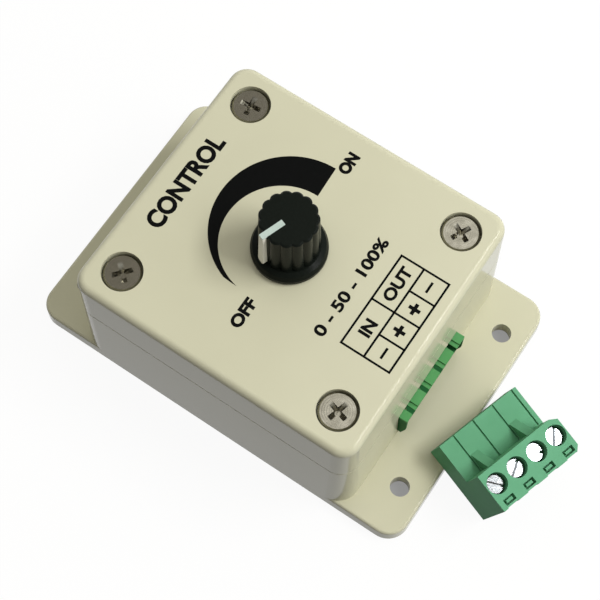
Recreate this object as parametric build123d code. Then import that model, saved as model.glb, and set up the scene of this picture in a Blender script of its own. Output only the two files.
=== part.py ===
from build123d import *

import math
import os

# LED dimmer: a moulded two-piece case with a fixing ear at each end, a knob on a potentiometer,
# a four-way socket in the end wall, and the screw plug of that socket, drawn out and laid against the ear.
# Millimetres, +Z up, origin at the centre of the case's underside, +X towards the socket.

# Case: outer sizes at the underside, and the walls lean in by the draft angle as they rise
OVERALL_LENGTH = 87.7
CASE_LENGTH = 64.2
CASE_WIDTH = 58.6
CASE_HEIGHT = 34.0
PARTING_HEIGHT = 22.0
SEAM = 0.3
DRAFT = 1.9
WALL = 2.0
FLOOR = 1.6
LID_TOP = 2.2
CASE_CORNER = 4.8
EAR_CORNER = 4.5
EAR_THICKNESS = 3.5
EAR_EDGE_ROUND = 0.6
LID_EDGE_ROUND = 1.5
EAR_HOLE_OUTSET = 0.45
EAR_HOLE_SPACING_Y = 38.6
EAR_HOLE_DIAMETER = 4.0
LIP_DEPTH = 2.0
LIP_THICKNESS = 0.9
LIP_CLEARANCE = 0.15

# Lid screws, in corner pillars
LID_SCREW_SPACING_X = 48.0
LID_SCREW_SPACING_Y = 42.0
LID_SCREW_HEAD_DIAMETER = 7.3
LID_SCREW_HEAD_HEIGHT = 2.4
LID_SCREW_HEAD_BEVEL = 0.3
LID_SCREW_SHANK_DIAMETER = 3.5
LID_SCREW_LENGTH = 18.0
LID_SCREW_SINK = 0.5
LID_SCREW_TIP_ROOM = 1.0
COUNTERBORE_CLEARANCE = 0.35
SHANK_CLEARANCE = 0.4
PILOT_CLEARANCE = 0.05
PILLAR_HALF = 5.0
PILLAR_ROUND = 3.0
LID_SCREW_TURNS = (49.0, 7.0, 74.0, 64.0)
CROSS_LENGTH = 4.2
CROSS_WIDTH = 1.0
CROSS_DEPTH = 1.7
CROSS_POINT = 1.1

# Circuit board on its posts, notched for the corner pillars
BOARD_WALL_GAP = 0.9
BOARD_PILLAR_GAP = 0.5
BOARD_THICKNESS = 1.6
POST_HEIGHT = 1.4
POST_DIAMETER = 5.0
BOARD_SCREW_SPACING_X = 22.0
BOARD_SCREW_EDGE = 4.0
BOARD_SCREW_HEAD_DIAMETER = 4.0
BOARD_SCREW_HEAD_HEIGHT = 1.4
BOARD_SCREW_SHANK_DIAMETER = 2.0
BOARD_SCREW_BITE = 2.2
BOARD_HOLE_CLEARANCE = 0.15

# Plug and socket: one pitch for both
WAYS = 4
PITCH = 5.08
MATE_LENGTH = 8.6
MATE_HEIGHT = 6.9
PLUG_LENGTH = 16.8
PLUG_END_TRIM = 0.2
PLUG_HEIGHT = 14.4
PLUG_FRONT_CHAMFER = 1.1
PLUG_BACK_CHAMFER_X = 0.9
PLUG_BACK_CHAMFER_Y = 1.6
PLUG_GROOVE_WIDTH = 0.35
PLUG_GROOVE_DEPTH = 0.5
PLUG_GROOVE_OFFSET = 1.27
FIN_THICKNESS = 1.8
FIN_LENGTH = 3.6
FIN_HEIGHT = 4.0
SLOT_LENGTH = 2.5
SLOT_WIDTH = 1.3
SLOT_DEPTH = 1.2
SLOT_EDGE_WALL = 0.4
SLOT_TAB_LENGTH = 1.5
SLOT_TAB_WIDTH = 0.55
SLOT_TAB_DROP = 0.2
FRONT_SCALLOP_WIDTH = 2.6
FRONT_SCALLOP_DEPTH = 0.15

# Plug clamps: a slotted screw draws a cage up against the fixed contact bar
CLAMP_PLACE = 11.8
CLAMP_SCREW_HEAD_DIAMETER = 3.5
CLAMP_SCREW_HEAD_HEIGHT = 1.7
CLAMP_SCREW_SHANK_DIAMETER = 2.5
CLAMP_SCREW_SINK = 1.5
CLAMP_SCREW_SLOT_WIDTH = 0.6
CLAMP_SCREW_SLOT_DEPTH = 0.8
CLAMP_SCREW_BORE = 4.2
CLAMP_SCREW_TURNS = (41.0, 122.0, 56.0, 141.0)
CLAMP_TRAVEL = 1.8
CAGE_LENGTH = 4.6
CAGE_WIDTH = 3.8
CAGE_WALL = 0.6
CAGE_TOP = 0.9
CAGE_CLEARANCE = 0.12
CAGE_FLOOR = 1.1
WIRE_ENTRY_WIDTH = 3.4
CONTACT_WIDTH = 2.2
CONTACT_HEIGHT = 2.6
CONTACT_SHEET = 0.4
CONTACT_CLEARANCE = 0.12
CONTACT_START = 1.0
CONTACT_BAR_END = 13.8

# Where the drawn-out plug lies: turned on the ear's edge, one corner on the table
PLUG_TURN = -17.4
PLUG_BEHIND_EDGE = 0.6
PLUG_SIDEWAYS = -0.65
PLUG_REST_GAP = 0.03

# Socket in the end wall
HEADER_Y = 0.4
HEADER_WALL = 0.8
HEADER_END_WALL = 0.45
HEADER_CLEARANCE = 0.15
HEADER_BACK = 2.6
HEADER_PROUD = 1.85
HEADER_NOTCH_WIDTH = 2.0
HEADER_NOTCH_DEPTH = 3.2
HEADER_STEP_WIDTH = 0.9
HEADER_STEP_DROP = 0.4
HEADER_RAKE_HEIGHT = 3.4
HEADER_RAKE_DEPTH = 0.9
HEADER_WINDOW_CLEARANCE = 0.2
PIN_SIDE = 0.9
PIN_SHORT_OF_MOUTH = 2.0
PIN_BEHIND = 1.2
PIN_TAIL = 1.0
PIN_HOLE_CLEARANCE = 0.15

# Potentiometer, soldered upright on the board
KNOB_X = -0.77
KNOB_Y = 0.12
POT_DIAMETER = 16.4
POT_HEIGHT = 7.6
POT_PLATE = 1.0
BUSHING_DIAMETER = 8.0
BUSHING_HEIGHT = 6.0
SHAFT_DIAMETER = 6.0
SHAFT_COLLAR_DIAMETER = 7.6
SHAFT_COLLAR_HEIGHT = 1.2
SHAFT_CLEARANCE = 0.1
SHAFT_FLAT_DEPTH = 1.5
SHAFT_LID_CLEARANCE = 1.0
POT_LEG_SPACING = 5.0
POT_LEG_WIDTH = 1.2
POT_LEG_THICKNESS = 0.8
POT_LEG_STAND = 1.6
POT_LEG_RISE = 3.0
POT_LEG_TAIL = 1.0

# Knob
KNOB_GAP = 0.5
KNOB_HEIGHT = 13.6
SKIRT_DIAMETER = 14.7
SKIRT_EDGE = 0.9
SKIRT_HEIGHT = 2.4
SKIRT_BULGE = 0.25
SKIRT_LEDGE = 0.1
BARREL_FOOT_DIAMETER = 11.8
BARREL_TOP_DIAMETER = 11.2
KNOB_TOP_BEVEL = 0.35
KNOB_HOLLOW_DIAMETER = 12.0
KNOB_HOLLOW_HEIGHT = 1.2
KNOB_BORE_CLEARANCE = 0.05
KNOB_CAP = 2.0
LOBES = 15
LOBE_HEIGHT = 0.42
POINTER_ANGLE = 70.0
POINTER_WIDTH = 1.2
POINTER_FOOT_WIDTH = 1.7
POINTER_PROUD = 0.6
POINTER_START = 1.2
POINTER_DEPTH = 0.5
POINTER_FOOT = 0.1

# Circuit pieces on the board, each placed from the nearer end of the board
CAPACITOR_DIAMETER = 10.0
CAPACITOR_HEIGHT = 16.0
CAPACITOR_FROM_END = 8.0
CAPACITOR_Y = 8.0
TRANSISTOR_SIZE = (6.6, 6.1, 2.3)
TRANSISTOR_TAB = (3.0, 5.2, 0.9)
TRANSISTOR_FROM_END = 15.0
TRANSISTOR_Y = -9.5
CHIP_SIZE = (5.0, 4.0, 1.6)
CHIP_FROM_END = 10.0
CHIP_Y = -8.5
CHIP_LEGS = 4
CHIP_LEG_PITCH = 1.27
CHIP_LEG_SIZE = (0.45, 1.0, 0.6)
DIODE_SIZE = (7.0, 6.0, 2.4)
DIODE_FROM_END = 15.0
DIODE_Y = 9.5
RESISTORS = 5
RESISTOR_SIZE = (2.0, 1.25, 0.55)
RESISTOR_PITCH = 3.2
RESISTOR_FROM_END = 4.5
RESISTOR_Y = -11.0

# Worked out from the sizes above
OVERCUT = 1.0
EAR_HOLE_SPACING_X = (OVERALL_LENGTH + CASE_LENGTH) / 2 + 2 * EAR_HOLE_OUTSET
BASE_TOP = PARTING_HEIGHT - SEAM / 2
LID_BOTTOM = PARTING_HEIGHT + SEAM / 2
PILLAR_TOP = BASE_TOP - LIP_DEPTH - LIP_CLEARANCE
LID_UNDERSIDE = CASE_HEIGHT - LID_TOP
COUNTERBORE_DIAMETER = LID_SCREW_HEAD_DIAMETER + 2 * COUNTERBORE_CLEARANCE
HEAD_SEAT = CASE_HEIGHT - LID_SCREW_SINK - LID_SCREW_HEAD_HEIGHT
BOARD_BOTTOM = FLOOR + POST_HEIGHT
BOARD_TOP = BOARD_BOTTOM + BOARD_THICKNESS
PLUG_WIDTH = WAYS * PITCH - 2 * PLUG_END_TRIM
HEADER_WIDTH = PLUG_WIDTH + 2 * (HEADER_CLEARANCE + HEADER_END_WALL)
HEADER_HEIGHT = MATE_HEIGHT + 2 * (HEADER_CLEARANCE + HEADER_WALL)
HEADER_TOP = BOARD_TOP + HEADER_HEIGHT
HEADER_DEPTH = MATE_LENGTH + HEADER_CLEARANCE + HEADER_BACK
PIN_HEIGHT = BOARD_TOP + HEADER_HEIGHT / 2
KNOB_BOTTOM = CASE_HEIGHT + KNOB_GAP
SHAFT_TOP = KNOB_BOTTOM + KNOB_HEIGHT - KNOB_CAP
POT_TOP = BOARD_TOP + POT_HEIGHT
WAY_PLACES = [(way - (WAYS - 1) / 2) * PITCH for way in range(WAYS)]


def lean(height):
    """How far a drafted wall has moved in at this height."""
    return height * math.tan(math.radians(DRAFT))


HEADER_MOUTH = CASE_LENGTH / 2 - lean(HEADER_TOP) + HEADER_PROUD
BOARD_INSET = WALL + lean(BOARD_TOP) + BOARD_WALL_GAP
BOARD_LENGTH = CASE_LENGTH - 2 * BOARD_INSET
BOARD_WIDTH = CASE_WIDTH - 2 * BOARD_INSET
BOARD_SCREW_SPACING_Y = BOARD_WIDTH - 2 * BOARD_SCREW_EDGE


def slab(length, width, height, x=0.0, y=0.0, z=0.0):
    """Box centred at x, y with its underside at z."""
    return Pos(x, y, z) * Box(length, width, height, align=(Align.CENTER, Align.CENTER, Align.MIN))


def rod(diameter, height, x=0.0, y=0.0, z=0.0):
    """Upright cylinder at x, y with its underside at z."""
    return Pos(x, y, z) * Cylinder(diameter / 2, height, align=(Align.CENTER, Align.CENTER, Align.MIN))


def corners(spacing_x, spacing_y):
    """The four places of a rectangular pattern about the origin."""
    return [(sx * spacing_x / 2, sy * spacing_y / 2) for sx in (-1, 1) for sy in (-1, 1)]


def drafted(bottom, top, inset=0.0, length=CASE_LENGTH, corner=CASE_CORNER):
    """Rounded block whose walls lean in, inset from the case's outer walls."""
    step = 2 * (inset + lean(bottom))
    outline = RectangleRounded(length - step, CASE_WIDTH - step, corner - step / 2)
    return extrude(Pos(0, 0, bottom) * outline, top - bottom, taper=DRAFT)


def lip_block(grow, bottom, top):
    """Straight rounded block on the wall's inner outline at the parting line, grown outwards."""
    step = 2 * (WALL + lean(PARTING_HEIGHT) - grow)
    outline = RectangleRounded(CASE_LENGTH - step, CASE_WIDTH - step, CASE_CORNER - step / 2)
    return extrude(Pos(0, 0, bottom) * outline, top - bottom)


def pillars(bottom, top, grow=0.0):
    """Four corner pillars, from beside each lid screw out to the case's walls."""
    made = []
    for x, y in corners(LID_SCREW_SPACING_X, LID_SCREW_SPACING_Y):
        side_x = CASE_LENGTH / 2 - abs(x) + PILLAR_HALF + grow
        side_y = CASE_WIDTH / 2 - abs(y) + PILLAR_HALF + grow
        middle_x = math.copysign(CASE_LENGTH / 2 - side_x / 2, x)
        middle_y = math.copysign(CASE_WIDTH / 2 - side_y / 2, y)
        outline = Pos(middle_x, middle_y, bottom) * RectangleRounded(side_x, side_y, PILLAR_ROUND)
        made.append(extrude(outline, top - bottom))
    return made


def base_box():
    """Lower case with its ears, corner pillars, board posts and socket window."""
    ears = drafted(0, EAR_THICKNESS, length=OVERALL_LENGTH, corner=EAR_CORNER)
    body = fillet(ears.edges().group_by(Axis.Z)[-1], EAR_EDGE_ROUND) + drafted(0, BASE_TOP)
    body -= drafted(FLOOR, BASE_TOP + OVERCUT, inset=WALL) - pillars(FLOOR, PILLAR_TOP)
    body -= lip_block(LIP_THICKNESS + LIP_CLEARANCE, PILLAR_TOP, BASE_TOP + OVERCUT)
    pilot = LID_SCREW_SHANK_DIAMETER + 2 * PILOT_CLEARANCE
    pilot_bottom = HEAD_SEAT - LID_SCREW_LENGTH - LID_SCREW_TIP_ROOM
    for x, y in corners(LID_SCREW_SPACING_X, LID_SCREW_SPACING_Y):
        body -= rod(pilot, PILLAR_TOP - pilot_bottom, x, y, pilot_bottom)
    board_pilot = BOARD_SCREW_SHANK_DIAMETER + 2 * PILOT_CLEARANCE
    for x, y in corners(BOARD_SCREW_SPACING_X, BOARD_SCREW_SPACING_Y):
        body += rod(POST_DIAMETER, POST_HEIGHT, x, y, FLOOR)
        body -= rod(board_pilot, BOARD_SCREW_BITE, x, y, BOARD_BOTTOM - BOARD_SCREW_BITE)
    for x, y in corners(EAR_HOLE_SPACING_X, EAR_HOLE_SPACING_Y):
        body -= rod(EAR_HOLE_DIAMETER, EAR_THICKNESS, x, y)
    room = 2 * HEADER_WINDOW_CLEARANCE
    return body - slab(
        HEADER_DEPTH,
        HEADER_WIDTH + room,
        HEADER_HEIGHT + room,
        HEADER_MOUTH,
        HEADER_Y,
        BOARD_TOP - HEADER_WINDOW_CLEARANCE,
    )


def lid():
    """Upper case with its lip, screw pillars, counterbores and shaft hole."""
    outer = drafted(LID_BOTTOM, CASE_HEIGHT)
    outer = fillet(outer.edges().group_by(Axis.Z)[-1], LID_EDGE_ROUND)
    body = outer - drafted(LID_BOTTOM, LID_UNDERSIDE, inset=WALL)
    lip_bottom = LID_BOTTOM - SEAM - LIP_DEPTH
    lip_top = LID_BOTTOM + WALL
    body += lip_block(LIP_THICKNESS, lip_bottom, lip_top) - lip_block(0, lip_bottom, lip_top)
    inside = lip_block(LIP_THICKNESS, PILLAR_TOP, LID_UNDERSIDE)
    for pillar in pillars(PILLAR_TOP, LID_UNDERSIDE):
        body += pillar & inside
    for x, y in corners(LID_SCREW_SPACING_X, LID_SCREW_SPACING_Y):
        body -= rod(LID_SCREW_SHANK_DIAMETER + 2 * SHANK_CLEARANCE, CASE_HEIGHT, x, y)
        body -= rod(COUNTERBORE_DIAMETER, CASE_HEIGHT - HEAD_SEAT, x, y, HEAD_SEAT)
    return body - rod(SHAFT_DIAMETER + 2 * SHAFT_LID_CLEARANCE, CASE_HEIGHT, KNOB_X, KNOB_Y)


def lid_screw(x, y, turn):
    """Flat-topped screw with a cross recess that runs down to a point."""
    head = rod(LID_SCREW_HEAD_DIAMETER, LID_SCREW_HEAD_HEIGHT, z=HEAD_SEAT)
    head = chamfer(head.edges().group_by(Axis.Z)[-1], LID_SCREW_HEAD_BEVEL)
    screw = head + rod(LID_SCREW_SHANK_DIAMETER, LID_SCREW_LENGTH, z=HEAD_SEAT - LID_SCREW_LENGTH)
    cross = Rectangle(CROSS_LENGTH, CROSS_WIDTH) + Rectangle(CROSS_WIDTH, CROSS_LENGTH)
    upright = (Align.CENTER, Align.CENTER, Align.MIN)
    point = Cone(CROSS_LENGTH / 2, CROSS_POINT / 2, CROSS_DEPTH, align=upright)
    recess = Rot(180, 0, 0) * (extrude(cross, CROSS_DEPTH) & point)
    screw -= Pos(0, 0, HEAD_SEAT + LID_SCREW_HEAD_HEIGHT) * recess
    return Pos(x, y, 0) * Rot(0, 0, turn) * screw


def lid_screws():
    """The four screws, each stopped at its own angle."""
    places = corners(LID_SCREW_SPACING_X, LID_SCREW_SPACING_Y)
    return [lid_screw(x, y, turn) for (x, y), turn in zip(places, LID_SCREW_TURNS)]


def board_screw(x, y):
    """Small screw through the board into its post."""
    shank = BOARD_SCREW_BITE + BOARD_THICKNESS
    return rod(BOARD_SCREW_SHANK_DIAMETER, shank, x, y, BOARD_TOP - shank) + rod(
        BOARD_SCREW_HEAD_DIAMETER, BOARD_SCREW_HEAD_HEIGHT, x, y, BOARD_TOP
    )


def pin_leg_x():
    """Where the socket's pins turn down into the board."""
    return HEADER_MOUTH - HEADER_DEPTH - PIN_BEHIND


def pot_leg_x():
    """Where the potentiometer's legs go down into the board."""
    return KNOB_X - POT_DIAMETER / 2 - POT_LEG_STAND


def pot_leg_places():
    """The three legs, side by side."""
    return [KNOB_Y + step * POT_LEG_SPACING for step in (-1, 0, 1)]


def circuit_board():
    """Board with its corner notches, its screw holes and the holes of the pins and legs."""
    board = slab(BOARD_LENGTH, BOARD_WIDTH, BOARD_THICKNESS, z=BOARD_BOTTOM)
    board -= pillars(BOARD_BOTTOM, BOARD_TOP, BOARD_PILLAR_GAP)
    for x, y in corners(BOARD_SCREW_SPACING_X, BOARD_SCREW_SPACING_Y):
        hole = BOARD_SCREW_SHANK_DIAMETER + 2 * BOARD_HOLE_CLEARANCE
        board -= rod(hole, BOARD_THICKNESS, x, y, BOARD_BOTTOM)
    pin_hole = PIN_SIDE + 2 * PIN_HOLE_CLEARANCE
    for place in WAY_PLACES:
        board -= slab(pin_hole, pin_hole, BOARD_THICKNESS, pin_leg_x(), HEADER_Y + place, BOARD_BOTTOM)
    for y in pot_leg_places():
        board -= slab(
            POT_LEG_THICKNESS + 2 * PIN_HOLE_CLEARANCE,
            POT_LEG_WIDTH + 2 * PIN_HOLE_CLEARANCE,
            BOARD_THICKNESS,
            pot_leg_x(),
            y,
            BOARD_BOTTOM,
        )
    return board


def terminal_header():
    """Socket shell raked back below its mouth, with a stepped notch over each pin in its lip."""
    middle = HEADER_MOUTH - HEADER_DEPTH / 2
    shell = slab(HEADER_DEPTH, HEADER_WIDTH, HEADER_HEIGHT, middle, HEADER_Y, BOARD_TOP)
    depth = HEADER_DEPTH - HEADER_BACK
    room = 2 * HEADER_CLEARANCE
    shell -= slab(
        depth,
        PLUG_WIDTH + room,
        MATE_HEIGHT + room,
        HEADER_MOUTH - depth / 2,
        HEADER_Y,
        BOARD_TOP + HEADER_WALL,
    )
    rake = Polyline(
        (HEADER_MOUTH, BOARD_TOP + HEADER_RAKE_HEIGHT),
        (HEADER_MOUTH - HEADER_RAKE_DEPTH, BOARD_TOP),
        (HEADER_MOUTH, BOARD_TOP),
        close=True,
    )
    shell -= Pos(0, HEADER_Y, 0) * extrude(Plane.XZ * make_face(rake), HEADER_WIDTH / 2, both=True)
    reach = 2 * HEADER_NOTCH_DEPTH
    slot_width = HEADER_NOTCH_WIDTH - HEADER_STEP_WIDTH
    for place in WAY_PLACES:
        y = HEADER_Y + place
        step_rise = HEADER_STEP_DROP + OVERCUT
        shell -= slab(reach, HEADER_NOTCH_WIDTH, step_rise, HEADER_MOUTH, y, HEADER_TOP - HEADER_STEP_DROP)
        slot_y = y - HEADER_STEP_WIDTH / 2
        slot_rise = HEADER_WALL + OVERCUT
        shell -= slab(reach, slot_width, slot_rise, HEADER_MOUTH, slot_y, HEADER_TOP - HEADER_WALL)
        shell -= slab(HEADER_BACK, PIN_SIDE, PIN_SIDE, HEADER_MOUTH - HEADER_DEPTH + HEADER_BACK / 2,
                      HEADER_Y + place, PIN_HEIGHT - PIN_SIDE / 2)
    return shell


def header_pin(place):
    """Right-angle pin from the socket's mouth down through the board."""
    start = pin_leg_x() - PIN_SIDE / 2
    end = HEADER_MOUTH - PIN_SHORT_OF_MOUTH
    y = HEADER_Y + place
    pin = slab(end - start, PIN_SIDE, PIN_SIDE, (start + end) / 2, y, PIN_HEIGHT - PIN_SIDE / 2)
    bottom = BOARD_BOTTOM - PIN_TAIL
    return pin + slab(PIN_SIDE, PIN_SIDE, PIN_HEIGHT - bottom, pin_leg_x(), y, bottom)


def pot_housing():
    """Round body of the potentiometer, with a pocket for the shaft's collar and slots for its legs."""
    body = rod(POT_DIAMETER, POT_HEIGHT, KNOB_X, KNOB_Y, BOARD_TOP)
    pocket = SHAFT_COLLAR_HEIGHT + SHAFT_CLEARANCE
    body -= rod(SHAFT_COLLAR_DIAMETER + 2 * SHAFT_CLEARANCE, pocket, KNOB_X, KNOB_Y, POT_TOP - pocket)
    for y in pot_leg_places():
        body -= pot_leg(y)
    return body


def pot_leg(y):
    """Flat leg: out of the potentiometer's side, then down through the board."""
    height = BOARD_TOP + POT_LEG_RISE
    bottom = BOARD_BOTTOM - POT_LEG_TAIL
    outer = pot_leg_x() - POT_LEG_THICKNESS / 2
    reach = KNOB_X - POT_DIAMETER / 2 + POT_LEG_STAND + POT_LEG_RISE
    middle = (reach + outer) / 2
    leg = slab(reach - outer, POT_LEG_WIDTH, POT_LEG_THICKNESS, middle, y, height - POT_LEG_THICKNESS)
    return leg + slab(POT_LEG_THICKNESS, POT_LEG_WIDTH, height - bottom, pot_leg_x(), y, bottom)


def pot_bushing():
    """Cover plate and bushing, one casting."""
    body = rod(POT_DIAMETER, POT_PLATE, KNOB_X, KNOB_Y, POT_TOP)
    body += rod(BUSHING_DIAMETER, POT_PLATE + BUSHING_HEIGHT, KNOB_X, KNOB_Y, POT_TOP)
    bore = SHAFT_DIAMETER + 2 * SHAFT_CLEARANCE
    return body - rod(bore, POT_PLATE + BUSHING_HEIGHT, KNOB_X, KNOB_Y, POT_TOP)


def shaft_end(diameter, flat_depth, bottom, top):
    """D-shaped length of the shaft, its flat opposite the pointer."""
    round_end = rod(diameter, top - bottom, z=bottom)
    flat = slab(diameter, diameter, top - bottom, -diameter + flat_depth, 0, bottom)
    return Pos(KNOB_X, KNOB_Y, 0) * Rot(0, 0, POINTER_ANGLE) * (round_end - flat)


def pot_shaft():
    """Turning shaft: collar in the housing, round in the bushing, flatted inside the knob."""
    bottom = POT_TOP - SHAFT_COLLAR_HEIGHT
    collar_top = POT_TOP - SHAFT_CLEARANCE
    shaft = rod(SHAFT_COLLAR_DIAMETER, collar_top - bottom, KNOB_X, KNOB_Y, bottom)
    shaft += rod(SHAFT_DIAMETER, KNOB_BOTTOM - bottom, KNOB_X, KNOB_Y, bottom)
    return shaft + shaft_end(SHAFT_DIAMETER, SHAFT_FLAT_DEPTH, KNOB_BOTTOM, SHAFT_TOP)


def barrel_radius(height):
    """Radius of the lobed barrel at a height over the knob's underside."""
    share = (height - SKIRT_HEIGHT) / (KNOB_HEIGHT - SKIRT_HEIGHT)
    return (BARREL_FOOT_DIAMETER + share * (BARREL_TOP_DIAMETER - BARREL_FOOT_DIAMETER)) / 2


def lobed_outline(height, inset=0.0):
    """Section of the barrel: convex lobes that meet in narrow notches."""
    crest = barrel_radius(height) - inset
    notch = crest - LOBE_HEIGHT
    half = math.pi / LOBES
    arcs = []
    for lobe in range(LOBES):
        middle = 2 * half * lobe
        reach = [(notch, middle - half), (crest, middle), (notch, middle + half)]
        arcs.append(ThreePointArc(*[(r * math.cos(a), r * math.sin(a)) for r, a in reach]))
    return Pos(0, 0, height) * make_face(arcs)


def lobed_barrel():
    """Grip of the knob, its upper edge bevelled."""
    shoulder = KNOB_HEIGHT - KNOB_TOP_BEVEL
    top = lobed_outline(KNOB_HEIGHT, KNOB_TOP_BEVEL)
    return loft([lobed_outline(SKIRT_HEIGHT), lobed_outline(shoulder), top], ruled=True)


def pointer_bar():
    """White bar let into the knob's top, then a raised rib down its side to a rounded foot."""
    top = KNOB_HEIGHT
    foot = SKIRT_HEIGHT + POINTER_FOOT
    outline = Polyline(
        (POINTER_START, top),
        (barrel_radius(top) + POINTER_PROUD, top),
        (barrel_radius(foot) + POINTER_PROUD, foot),
        (barrel_radius(foot) - POINTER_DEPTH, foot),
        (barrel_radius(top) - POINTER_DEPTH, top - POINTER_DEPTH),
        (POINTER_START, top - POINTER_DEPTH),
        close=True,
    )
    bar = extrude(Plane.XZ * make_face(outline), POINTER_FOOT_WIDTH / 2, both=True)
    bend = foot + POINTER_FOOT_WIDTH / 2
    front = make_face([
        Polyline((-POINTER_FOOT_WIDTH / 2, bend), (-POINTER_WIDTH / 2, top), (POINTER_WIDTH / 2, top),
                 (POINTER_FOOT_WIDTH / 2, bend)),
        ThreePointArc((POINTER_FOOT_WIDTH / 2, bend), (0, foot), (-POINTER_FOOT_WIDTH / 2, bend)),
    ])
    bar &= extrude(Plane.YZ * front, SKIRT_DIAMETER / 2)
    return Pos(KNOB_X, KNOB_Y, KNOB_BOTTOM) * Rot(0, 0, 180 + POINTER_ANGLE) * bar


def knob():
    """Twice bevelled skirt under a lobed barrel, hollow below, bored for the shaft."""
    rim = (SKIRT_DIAMETER / 2, SKIRT_EDGE)
    waist = (barrel_radius(SKIRT_HEIGHT) + SKIRT_LEDGE, SKIRT_HEIGHT)
    crown = ((rim[0] + waist[0]) / 2 + SKIRT_BULGE, (rim[1] + waist[1]) / 2 + SKIRT_BULGE)
    outline = Polyline((0, 0), (SKIRT_DIAMETER / 2, 0), rim, crown, waist, (0, SKIRT_HEIGHT), close=True)
    body = revolve(Plane.XZ * make_face(outline), Axis.Z) + lobed_barrel()
    body -= rod(KNOB_HOLLOW_DIAMETER, KNOB_HOLLOW_HEIGHT)
    body = Pos(KNOB_X, KNOB_Y, KNOB_BOTTOM) * Rot(0, 0, 180 + POINTER_ANGLE) * body
    bore = SHAFT_DIAMETER + 2 * KNOB_BORE_CLEARANCE
    socket = shaft_end(bore, SHAFT_FLAT_DEPTH, KNOB_BOTTOM, SHAFT_TOP + KNOB_BORE_CLEARANCE)
    return body - socket - pointer_bar()


def power_transistor():
    """Flat surface-mounted transistor with its tab."""
    x = BOARD_LENGTH / 2 - TRANSISTOR_FROM_END
    length, width, height = TRANSISTOR_SIZE
    tab_length, tab_width, tab_height = TRANSISTOR_TAB
    tab = slab(tab_length, tab_width, tab_height, x - (length + tab_length) / 2, TRANSISTOR_Y, BOARD_TOP)
    return slab(length, width, height, x, TRANSISTOR_Y, BOARD_TOP) + tab


def controller_chip():
    """Small chip with a row of legs along each side."""
    x = CHIP_FROM_END - BOARD_LENGTH / 2
    length, width, height = CHIP_SIZE
    leg_width, leg_reach, leg_height = CHIP_LEG_SIZE
    chip = slab(length, width, height, x, CHIP_Y, BOARD_TOP)
    for leg in range(CHIP_LEGS):
        leg_x = x + (leg - (CHIP_LEGS - 1) / 2) * CHIP_LEG_PITCH
        chip += slab(leg_width, width + 2 * leg_reach, leg_height, leg_x, CHIP_Y, BOARD_TOP)
    return chip


def filter_capacitor():
    """Upright can of the filter capacitor."""
    x = CAPACITOR_FROM_END - BOARD_LENGTH / 2
    return rod(CAPACITOR_DIAMETER, CAPACITOR_HEIGHT, x, CAPACITOR_Y, BOARD_TOP)


def flyback_diode():
    """Flat surface-mounted diode."""
    return slab(*DIODE_SIZE, BOARD_LENGTH / 2 - DIODE_FROM_END, DIODE_Y, BOARD_TOP)


def resistor(index):
    """One of a row of chip resistors."""
    x = RESISTOR_FROM_END - BOARD_LENGTH / 2
    return slab(*RESISTOR_SIZE, x, RESISTOR_Y + index * RESISTOR_PITCH, BOARD_TOP)


def plug_end_places():
    """Underside corners at the plug's chamfered wire end, in the plug's own frame."""
    half = PLUG_WIDTH / 2
    return [(PLUG_LENGTH, half - PLUG_FRONT_CHAMFER), (PLUG_LENGTH - PLUG_FRONT_CHAMFER, half)]


def plug_place():
    """The plug's resting place: its underside lies on the ear's rounded edge and one corner on the table."""
    turn = math.radians(PLUG_TURN)
    reach = [along * math.cos(turn) - across * math.sin(turn) for along, across in plug_end_places()]
    run = max(reach) - PLUG_BEHIND_EDGE
    over = EAR_EDGE_ROUND + PLUG_REST_GAP
    drop = EAR_THICKNESS - over
    slope = math.degrees(math.asin(drop / math.hypot(run, over)) + math.atan(over / run))
    edge = OVERALL_LENGTH / 2 - lean(EAR_THICKNESS) - EAR_EDGE_ROUND
    on_edge = Pos(edge, 0, EAR_THICKNESS - EAR_EDGE_ROUND) * Rot(0, slope, 0)
    return on_edge * Pos(-PLUG_BEHIND_EDGE, PLUG_SIDEWAYS, over) * Rot(0, 0, PLUG_TURN)


def contact_bar_top():
    """Upper face of the fixed contact bar, in the plug's own frame."""
    return (MATE_HEIGHT + CONTACT_HEIGHT) / 2


def cage_height():
    """Outer height of a clamp cage that just clears the contact bar when it is down."""
    return contact_bar_top() + CONTACT_CLEARANCE + CAGE_TOP - CAGE_FLOOR


def screw_seat():
    """Shoulder under the clamp screw's head, in the plug's own frame."""
    return PLUG_HEIGHT - CLAMP_SCREW_SINK - CLAMP_SCREW_HEAD_HEIGHT


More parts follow.
